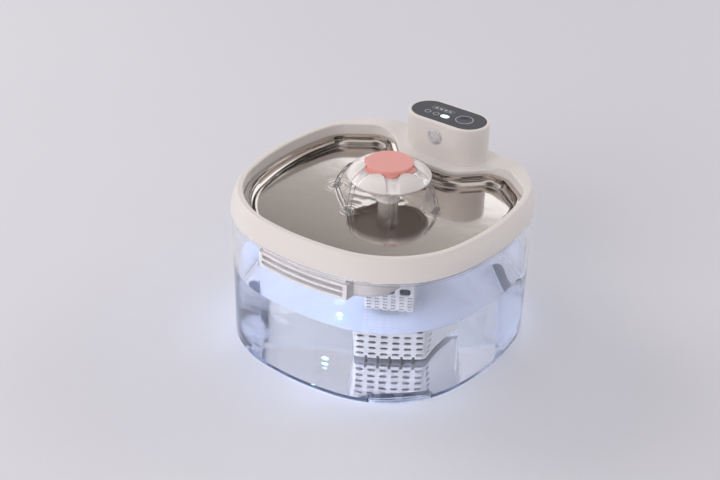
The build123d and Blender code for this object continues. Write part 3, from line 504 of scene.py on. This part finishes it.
# The film is most restless at the fountain's stem and calms down over 33 mm
hub_on_film = hub + Vector((0, 0, film_top))
from_hub = computed(tree, "DISTANCE", place, hub_on_film, kind="VectorMath")
unrest = graded(tree, from_hub, 50.0, 0.7, start=0.006, end=0.033)
ruffles = computed(tree, "MULTIPLY", chop, unrest)
for landing in landings:
    away = computed(tree, "DISTANCE", place, landing, kind="VectorMath")
    rings = computed(tree, "SINE", computed(tree, "MULTIPLY", away, ring_radians_per_metre))
    fade = graded(tree, away, 0.5, 0.0, end=ring_spread)
    ruffles = computed(tree, "MULTIPLY_ADD", rings, fade, ruffles)
ruffled = shade(tree, ruffles, {"Base Color": "#fcfdfe", **water_optics}, bump=(0.3, 0.0003))
show_clear(tree, ruffled, "#f4f8fd")
cover(film, ruffled_water)
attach(film, "tray")

# ---------------------------------------------------------------- filter pad
# Layered polyester wadding with activated carbon between, heat-sealed round the edge and along
# a grid of channels. It lies loose in the tub and is changed every few weeks.
pad_channel_spacing = 0.024
pad_channel_depth = 0.003
pillow_steepness = 2.2


def apply_modifier(piece, kind, **settings):
    """Adds a modifier with these settings to the active piece and applies it."""
    bpy.ops.object.modifier_add(type=kind)
    for key, value in settings.items():
        setattr(piece.modifiers[-1], key, value)
    bpy.ops.object.modifier_apply(modifier=piece.modifiers[-1].name)


pad = merged_copy("filter_pad", "wadding_pad")
bpy.ops.object.mode_set(mode="OBJECT")
apply_modifier(pad, "REMESH", mode="VOXEL", voxel_size=0.002)
pad_low, pad_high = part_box("filter_pad")
for vertex in pad.data.vertices:
    if vertex.co.z > (pad_low.z + pad_high.z) / 2:
        across = abs(math.sin(math.pi * vertex.co.x / pad_channel_spacing))
        along = abs(math.sin(math.pi * vertex.co.y / pad_channel_spacing))
        pillow = min(1.0, across * pillow_steepness) * min(1.0, along * pillow_steepness)
        vertex.co.z -= pad_channel_depth * (1 - pillow)
apply_modifier(pad, "SMOOTH", iterations=3)
bpy.ops.object.shade_smooth()

wadding = grained(
    "polyester_wadding_needled",
    scale=600.0,
    detail=6.0,
    inputs={"Base Color": ("#d6d4cf", "#f1f0ed"), "Roughness": 0.95, "Sheen Weight": 0.3},
    bump=(0.7, 0.0006),
    Distortion=3.0,
)
cover(pad, wadding)
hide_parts("filter_pad")
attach(pad, "lid")

# ---------------------------------------------------------------- riser, coils and night light
# The riser is a plain tube of frosted PP. The coils are enamelled copper wire wound flat and set
# in clear resin. The night light is a milky lens over a cool white diode.
frosted_pp = grained(
    "pp_frosted",
    scale=300.0,
    detail=3.0,
    inputs={
        "Base Color": "#e6e7ea",
        "Roughness": (0.35, 0.5),
        "IOR": 1.49,
        "Transmission Weight": 0.35,
    },
)
dress(frosted_pp, "riser_tube")


def flattened(tree, place):
    """Coordinates without their height."""
    apart = add_node(tree, "SeparateXYZ", {"Vector": place})
    level = add_node(tree, "CombineXYZ", {"X": apart.outputs["X"], "Y": apart.outputs["Y"]})
    return level.outputs[0]


copper, tree, place = new_material("copper_wire_enamelled")
centred = add_node(tree, "Mapping", {"Vector": place, "Location": (0.0, -hub.y, 0.0)})
radius = computed(tree, "LENGTH", flattened(tree, centred.outputs[0]), kind="VectorMath")
# Turns of 0.8 mm wire, drawn at their true pitch
wire_pitch = 0.0008
winding = computed(tree, "SINE", computed(tree, "MULTIPLY", radius, 2 * math.pi / wire_pitch))
# The colour darkens towards the grooves between turns and lightens on their crests: painted shade
# and painted highlight
crest = graded(tree, winding, 0.0, 1.0, start=-1.0)
wire = {
    "Base Color": follow(tree, crest, ("#6d2c12", "#d67a45")),
    "Metallic": 0.9,
    "Roughness": 0.3,
    "Coat Weight": 0.5,
}
show(tree, shade(tree, winding, wire, bump=(0.8, 0.0002)))
dress(copper, "transmit_coil", "receive_coil")

lit_lens = grained(
    "pc_opal_lit",
    scale=500.0,
    detail=1.0,
    inputs={
        "Base Color": "#eef4fa",
        "Roughness": 0.35,
        "IOR": 1.58,
        "Emission Color": ("#bfe0ff", "#e6f4ff"),
        "Emission Strength": 2.5,
    },
)
dress(lit_lens, "light_lens")

light_low, light_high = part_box("light_lens")
night_light_drop = 0.004
night_light_place = (
    (light_low.x + light_high.x) / 2,
    (light_low.y + light_high.y) / 2,
    light_low.z - night_light_drop,
)
night_light = add_lamp(
    "night_light",
    "POINT",
    energy=0.011,
    colour="#9fcbff",
    place=night_light_place,
    shadow_soft_size=0.003,
)

# Painted light spot: a flat glowing piece 5.2 mm long on the tank's floor stands in for the bright
# spot that the lens throws there
spot_shift = 0.0015
spot_height = 0.0004
spot_radius = 0.0026
spot_taper = 0.25
spot_flatness = 0.2
bpy.ops.object.select_all(action="DESELECT")
bpy.ops.mesh.primitive_uv_sphere_add(segments=24, ring_count=12, radius=1.0)
spot = bpy.context.object
spot.name = "painted_night_light_spot"
spot_place = Vector(
    (
        night_light.location.x + spot_shift,
        night_light.location.y - spot_shift,
        tank_floor_level + spot_height,
    )
)
for vertex in spot.data.vertices:
    width = 1.0 - spot_taper * abs(vertex.co.x)
    drop = Vector((vertex.co.x, vertex.co.y * width, vertex.co.z * spot_flatness))
    vertex.co = spot_place + drop * spot_radius
bpy.ops.object.shade_smooth()
beam, tree, place = new_material("painted_light_spot_glow")
from_spot = computed(tree, "DISTANCE", place, spot_place, kind="VectorMath")
# Painted glow, brightest in the middle and fading towards the edge
core = graded(tree, from_spot, 14.0, 1.5, end=spot_radius)
shine = add_node(tree, "Emission", {"Color": linear("#9fe9ff"), "Strength": core})
show(tree, shine.outputs[0])
cover(spot, beam)
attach(spot, "tank_body")

# The water spreads part of the light over the tank's bottom
spread_light = add_lamp(
    "night_light_spread",
    "AREA",
    energy=0.017,
    colour="#bcd6ff",
    place=(-0.03, -0.02, 0.058),
    size=0.15,
)
for kind in ("camera", "glossy", "transmission"):
    setattr(spread_light, "visible_" + kind, False)

# ---------------------------------------------------------------- fountain head
# Dome and stem are moulded from off-white ABS with a finer polish than the ring, the cap with its
# lobed flange from coral pink ABS. All lift off for cleaning.
petal_abs = grained(
    "abs_offwhite_polished",
    scale=60.0,
    detail=2.0,
    inputs={"Base Color": ("#ebe5e4", "#f1ecea"), "Roughness": (0.18, 0.3), "IOR": 1.54},
)
dress(petal_abs, "flower_stem", "flower_dome")

pink_abs = grained(
    "abs_coral_satin",
    scale=800.0,
    detail=3.0,
    inputs={"Base Color": ("#e79a92", "#f4b1aa"), "Roughness": 0.42, "IOR": 1.52},
    bump=(0.15, 0.0002),
)
dress(pink_abs, "flower_cap")

# ---------------------------------------------------------------- water jets
# A thin film runs down each channel between the petals and leaves the rim of the dome as two
# strands, which fall free and open small rings where they land on the tray.
# Both are strips; their stations give the place along them, half width and half thickness.
film_stations = (
    (0.0, 0.0036, 0.0002),
    (0.003, 0.0042, 0.0003),
    (0.010, 0.0045, 0.0003),
    (0.0155, 0.0042, 0.0003),
    (0.0175, 0.0032, 0.0002),
)
strand_stations = (
    (0.0165, 0.0004, 0.0004),
    (0.0185, 0.0008, 0.0007),
    (0.023, 0.0007, 0.0006),
    (0.029, 0.0005, 0.0005),
    (0.034, 0.0006, 0.0006),
    (0.040, 0.0005, 0.0005),
    (0.0415, 0.0008, 0.0008),
)
strand_offset = 0.0024
# The course of a jet: distance from the hub and height
jet_course = (
    (0.0168, 0.1336),
    (0.0215, 0.1329),
    (0.0266, 0.1308),
    (0.0309, 0.1270),
    (0.0335, 0.1210),
    (0.0356, 0.1140),
    (0.0368, 0.1055),
)
dome_rim_radius = 0.031
foot_overhang = 0.0015


def water_strip(stations, offset):
    """Rounded strip along X: for each station its place, half width and half thickness."""
    bpy.ops.object.select_all(action="DESELECT")
    bpy.ops.mesh.primitive_circle_add(
        vertices=12, radius=1.0, fill_type="NGON", rotation=(0, math.pi / 2, 0)
    )
    strip = bpy.context.object
    bpy.ops.object.transform_apply(location=False, rotation=True, scale=False)
    bpy.ops.object.mode_set(mode="EDIT")
    bpy.ops.mesh.select_all(action="SELECT")
    bpy.ops.transform.resize(value=(1, stations[0][1], stations[0][2]))
    bpy.ops.transform.translate(value=(stations[0][0], 0, 0))
    for before, after in zip(stations, stations[1:]):
        bpy.ops.mesh.extrude_region_move(
            TRANSFORM_OT_translate={"value": (after[0] - before[0], 0, 0)}
        )
        bpy.ops.transform.resize(
            value=(1, after[1] / before[1], after[2] / before[2]), center_override=(after[0], 0, 0)
        )
    bpy.ops.mesh.select_all(action="SELECT")
    bpy.ops.transform.translate(value=(0, offset, 0))
    bpy.ops.mesh.normals_make_consistent(inside=False)
    bpy.ops.object.mode_set(mode="OBJECT")
    return strip


def join_all(pieces):
    """Joins the pieces into the first."""
    bpy.ops.object.select_all(action="DESELECT")
    for piece in pieces:
        piece.select_set(True)
    bpy.context.view_layer.objects.active = pieces[0]
    bpy.ops.object.join()
    return bpy.context.object


strips = [water_strip(film_stations, 0.0)]
strips += [water_strip(strand_stations, side * strand_offset) for side in (-1, 1)]
jet = join_all(strips)
apply_modifier(jet, "SUBSURF", levels=2, render_levels=2)

course = bpy.data.curves.new("jet_course", "CURVE")
course.dimensions = "3D"
course.resolution_u = 24
spline = course.splines.new("NURBS")
spline.points.add(len(jet_course) - 1)
for point, (reach, level) in zip(spline.points, jet_course):
    point.co = (reach, 0.0, level, 1.0)
spline.order_u = 4
spline.use_endpoint_u = True
course_object = bpy.data.objects.new("jet_course", course)
scene.collection.objects.link(course_object)
apply_modifier(jet, "CURVE", object=course_object, deform_axis="POS_X")
bpy.data.objects.remove(course_object)
bpy.ops.object.shade_smooth()

jet_water, tree, place = new_material("water_jet")
streaks = noise(tree, stretched(tree, place, (1.0, 1.0, 0.35)), scale=420.0, detail=1.0)
falling = shade(tree, streaks, {"Base Color": "#fbfdff", **water_optics}, bump=(0.5, 0.0004))
# On the dome, above its rim, the film is too thin to bend much light
height = add_node(tree, "SeparateXYZ", {"Vector": place}).outputs["Z"]
thinness = graded(tree, height, 0.0, 0.7, start=0.126, end=0.129)
show_clear(tree, falling, "#fbfbfc", thinness)
cover(jet, jet_water)

# Outside the dome's rim each jet is stretched, so that its foot, 1.5 mm inside its outermost point,
# stands where it lands
for number, (angle, reach) in enumerate(zip(jet_angles, jet_reach)):
    stream = jet.copy()
    stream.data = jet.data.copy()
    stream.name = f"water_jet_{number + 1}"
    scene.collection.objects.link(stream)
    last_reach = max(vertex.co.x for vertex in stream.data.vertices)
    stretch = (reach - dome_rim_radius) / (last_reach - foot_overhang - dome_rim_radius)
    for vertex in stream.data.vertices:
        if vertex.co.x > dome_rim_radius:
            vertex.co.x = dome_rim_radius + (vertex.co.x - dome_rim_radius) * stretch
    stream.data.transform(Matrix.Translation(hub) @ Matrix.Rotation(angle, 4, "Z"))
    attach(stream, "flower")
bpy.data.objects.remove(jet)

# Splash rings: round each strand's foot a raised lip of water 2.6 mm across, and outside it a lower
# one 5.2 mm across, both a little uneven in height
splash_lips = ((0.0013, 0.00045), (0.0026, 0.00022))
lip_unevenness = 0.00025
lip_radians_per_metre = (900, 1100)
phase_per_ring = 1.7
for number, landing in enumerate(landings):
    across = Vector((-math.sin(jet_angles[number]), math.cos(jet_angles[number]), 0.0))
    bpy.ops.object.select_all(action="DESELECT")
    lips = []
    for side in (-1, 1):
        for ring_radius, lip_radius in splash_lips:
            bpy.ops.mesh.primitive_torus_add(
                location=landing + across * side * strand_offset,
                major_segments=28,
                minor_segments=8,
                major_radius=ring_radius,
                minor_radius=lip_radius,
            )
            bpy.ops.object.transform_apply(location=True, rotation=False, scale=False)
            lips.append(bpy.context.object)
    splash = join_all(lips)
    splash.name = f"splash_ring_{number + 1}"
    for vertex in splash.data.vertices:
        along_x = math.sin(lip_radians_per_metre[0] * vertex.co.x + phase_per_ring * number)
        along_y = math.cos(lip_radians_per_metre[1] * vertex.co.y)
        vertex.co.z += lip_unevenness * (along_x * along_y)
    bpy.ops.object.shade_smooth()
    cover(splash, jet_water)
    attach(splash, "tray")

# ---------------------------------------------------------------- battery pod
# The pod's shell and base are the ring's satin ABS. Its top is a smoked acrylic window over the
# display, with a shallow dish at the touch ring.
dress(white_abs, "pod_shell", "pod_base")

touch_middle = Vector((0.0138, 0.0825, 0.0))
dish_radius = 0.0064
smoked, tree, place = new_material("pmma_smoked_polished")
away = computed(tree, "DISTANCE", flattened(tree, place), touch_middle, kind="VectorMath")
dish = graded(tree, away, 0.0, 1.0, end=dish_radius, interpolation_type="SMOOTHSTEP")
film_haze = noise(tree, place, scale=90.0, detail=2.0)
window = {
    "Base Color": "#393b45",
    "Specular IOR Level": 0.1,
    "Roughness": follow(tree, film_haze, (0.1, 0.18)),
    "IOR": 1.49,
}
show(tree, shade(tree, dish, window, bump=(0.8, 0.0002)))
dress(smoked, "display_lens")

# Marks of the display, screened on the window in a layer 0.03 mm thick: a row of four level bars in
# a rounded frame, two unlit round signs, one lit sign with a small dark dot, and the touch ring
mark_layer = 0.00003
dot_lift = 0.00002
window_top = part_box("display_lens")[1].z
level_row_y = 0.0872
sign_row_y = 0.0782
first_bar_x = -0.0140
bar_spacing = 0.004
sign_size = 0.0052


def screen_ink(name, *colours):
    """Screen printed ink, mottled between two colours."""
    inputs = {"Base Color": colours, "Roughness": 0.35}
    return grained(name, scale=1500.0, detail=2.0, inputs=inputs)


grey_ink = screen_ink("screen_ink_grey", "#b2b3bd", "#cbccd4")
dim_ink = screen_ink("screen_ink_dim", "#9798a2", "#a9aab4")
lit_mark = grained(
    "diode_lit_mark",
    scale=400.0,
    detail=1.0,
    inputs={
        "Base Color": "#d8f2f6",
        "Roughness": 0.3,
        "Emission Color": ("#c9eef5", "#f2ffff"),
        "Emission Strength": 0.9,
    },
)


def screen_mark(name, x, y, width, depth, line, corner, material, lift=0.0):
    """Mark on the window: a rounded outline of this line width, or solid where line is 0."""
    bpy.ops.object.select_all(action="DESELECT")
    bpy.ops.mesh.primitive_plane_add(size=1.0, location=(x, y, window_top + mark_layer + lift))
    mark = bpy.context.object
    mark.name = name
    mark.scale = (width, depth, 1.0)
    bpy.ops.object.transform_apply(location=True, rotation=False, scale=True)
    bpy.ops.object.mode_set(mode="EDIT")
    bpy.ops.mesh.select_all(action="SELECT")
    bpy.ops.mesh.bevel(offset=corner, offset_type="OFFSET", segments=10, affect="VERTICES")
    if line:
        bpy.ops.mesh.inset(thickness=line)
        bpy.ops.mesh.delete(type="FACE")
    bpy.ops.mesh.select_all(action="SELECT")
    bpy.ops.mesh.extrude_region_move(TRANSFORM_OT_translate={"value": (0, 0, -2 * mark_layer)})
    bpy.ops.mesh.select_all(action="SELECT")
    bpy.ops.mesh.normals_make_consistent(inside=False)
    bpy.ops.object.mode_set(mode="OBJECT")
    cover(mark, material)
    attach(mark, "pod")


# Name, middle x and y, width, depth, line width, corner radius and ink of each mark
screen_mark(
    "touch_ring_mark", touch_middle.x, touch_middle.y, 0.0138, 0.0138, 0.00055, 0.00689, grey_ink
)
screen_mark("level_frame_mark", -0.008, level_row_y, 0.0196, 0.0046, 0.00035, 0.0022, dim_ink)
for k in range(4):
    bar_x = first_bar_x + bar_spacing * k
    screen_mark(f"level_bar_mark_{k + 1}", bar_x, level_row_y, 0.0026, 0.0016, 0, 0.0006, grey_ink)
for number, sign_x in ((1, -0.0164), (2, -0.0089)):
    screen_mark(
        f"sign_mark_{number}", sign_x, sign_row_y, sign_size, sign_size, 0.0006, 0.00255, dim_ink
    )
screen_mark("sign_mark_lit", -0.0010, sign_row_y, 0.0072, 0.0050, 0, 0.0024, lit_mark)
screen_mark("sign_dot", 0.0012, 0.0784, 0.0009, 0.0009, 0, 0.0004, smoked, lift=dot_lift)

# Motion sensor: a milky polyethylene lens over a nickel plated can
sensor_pe = celled(
    "hdpe_milky",
    scale=420.0,
    inputs={
        "Base Color": ("#e9e8ec", "#a6a6ad"),
        "Roughness": 0.32,
        "IOR": 1.54,
        "Subsurface Weight": 0.2,
        "Subsurface Scale": 0.001,
    },
    bump=(0.7, 0.0005),
)
dress(sensor_pe, "sensor_lens")


def plated(name, scale, detail, colour, roughness):
    """Bare or plated metal whose gloss follows fine scuffs."""
    finish = {"Base Color": colour, "Metallic": 1.0, "Roughness": roughness}
    return grained(name, scale, detail, finish)


nickel = plated("nickel_plated_steel", 900.0, 3.0, colour="#b9b7b0", roughness=(0.15, 0.32))
dress(nickel, "motion_sensor", "charge_socket")

gold = plated("gold_flash_on_nickel", 1200.0, 3.0, colour="#e7c268", roughness=(0.15, 0.3))
dress(gold, "contact_pins", "contact_pads")

# Circuit board of green masked FR4, with the weave of the glass cloth just under the mask
fr4, tree, place = new_material("fr4_green_mask")
threads = {"Vector": place, "Scale": 420.0, "Distortion": 0.4}
weft, warp = [
    add_node(tree, "TexWave", threads, bands_direction=axis).outputs["Fac"] for axis in ("X", "Y")
]
cloth = computed(tree, "MULTIPLY", weft, warp)
mask = {"Base Color": ("#0f4a2c", "#1d6a40"), "Roughness": 0.3, "IOR": 1.5}
show(tree, shade(tree, cloth, mask))
dress(fr4, "circuit_board")

# Diodes in white epoxy. The electrode's tinned foil has the same grey shine as the nickel
epoxy = grained(
    "epoxy_white_diode",
    scale=1200.0,
    detail=2.0,
    inputs={"Base Color": ("#e9e7d2", "#f4f3e6"), "Roughness": 0.35, "IOR": 1.53},
)
dress(epoxy, "indicator_leds")
dress(nickel, "touch_electrode")

# Battery in shrink-wrapped blue PVC
pvc_wrap, tree, place = new_material("pvc_shrink_wrap_blue")
wrinkle = noise(tree, stretched(tree, place, (0.3, 1.0, 1.0)), scale=350.0, detail=3.0)
wrap = {"Base Color": ("#224f9c", "#2f62b4"), "Roughness": 0.25, "IOR": 1.53}
show(tree, shade(tree, wrinkle, wrap, bump=(0.5, 0.0003)))
dress(pvc_wrap, "battery_pack")

# Port flap of soft white TPE
tpe = grained(
    "tpe_white_matt",
    scale=1100.0,
    detail=2.0,
    inputs={"Base Color": ("#dad4d1", "#e0dad8"), "Roughness": 0.7, "IOR": 1.48},
)
dress(tpe, "port_flap")

# ---------------------------------------------------------------- pump module
# The basket and its lid are moulded from pale grey PP, the pump from grey ABS, the impeller from
# dark POM on a ground steel shaft.
basket_pp = grained(
    "pp_pale_grey",
    scale=150.0,
    detail=3.0,
    inputs={"Base Color": ("#d6d4d7", "#dedcdf"), "Roughness": (0.35, 0.5), "IOR": 1.49},
)
dress(basket_pp, "pump_basket", "basket_lid")

pump_abs = grained(
    "abs_grey_sparked",
    scale=1400.0,
    detail=4.0,
    inputs={"Base Color": ("#8b8e95", "#9a9da4"), "Roughness": 0.55, "IOR": 1.52},
    bump=(0.4, 0.0002),
)
dress(pump_abs, "pump_body", "pump_cover")

pom = grained(
    "pom_dark_moulded",
    scale=300.0,
    detail=2.0,
    inputs={"Base Color": ("#2c2f36", "#383b43"), "Roughness": 0.3, "IOR": 1.48},
)
dress(pom, "impeller")

ground_steel = plated("steel_ground", 2200.0, 2.0, colour="#c9c9cb", roughness=(0.1, 0.22))
dress(ground_steel, "impeller_shaft")

# Pre-filter: a block of open-cell PU foam cut to fit before the pump
pore_size = 0.0035
pore_depth = 0.0005
foam_block = merged_copy("foam_filter", "foam_block")
bpy.ops.object.mode_set(mode="OBJECT")
apply_modifier(foam_block, "REMESH", mode="VOXEL", voxel_size=0.0012)
pores = bpy.data.textures.new("foam_pores", "VORONOI")
pores.noise_scale = pore_size
apply_modifier(foam_block, "DISPLACE", texture=pores, strength=pore_depth, mid_level=1.0)
bpy.ops.object.shade_smooth()

pu_foam = celled(
    "pu_foam_open_cell",
    scale=700.0,
    inputs={"Base Color": ("#22242a", "#5a5e68"), "Roughness": 0.9},
    bump=(1.0, 0.0008),
)
cover(foam_block, pu_foam)
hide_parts("foam_filter")
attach(foam_block, "pump_unit")
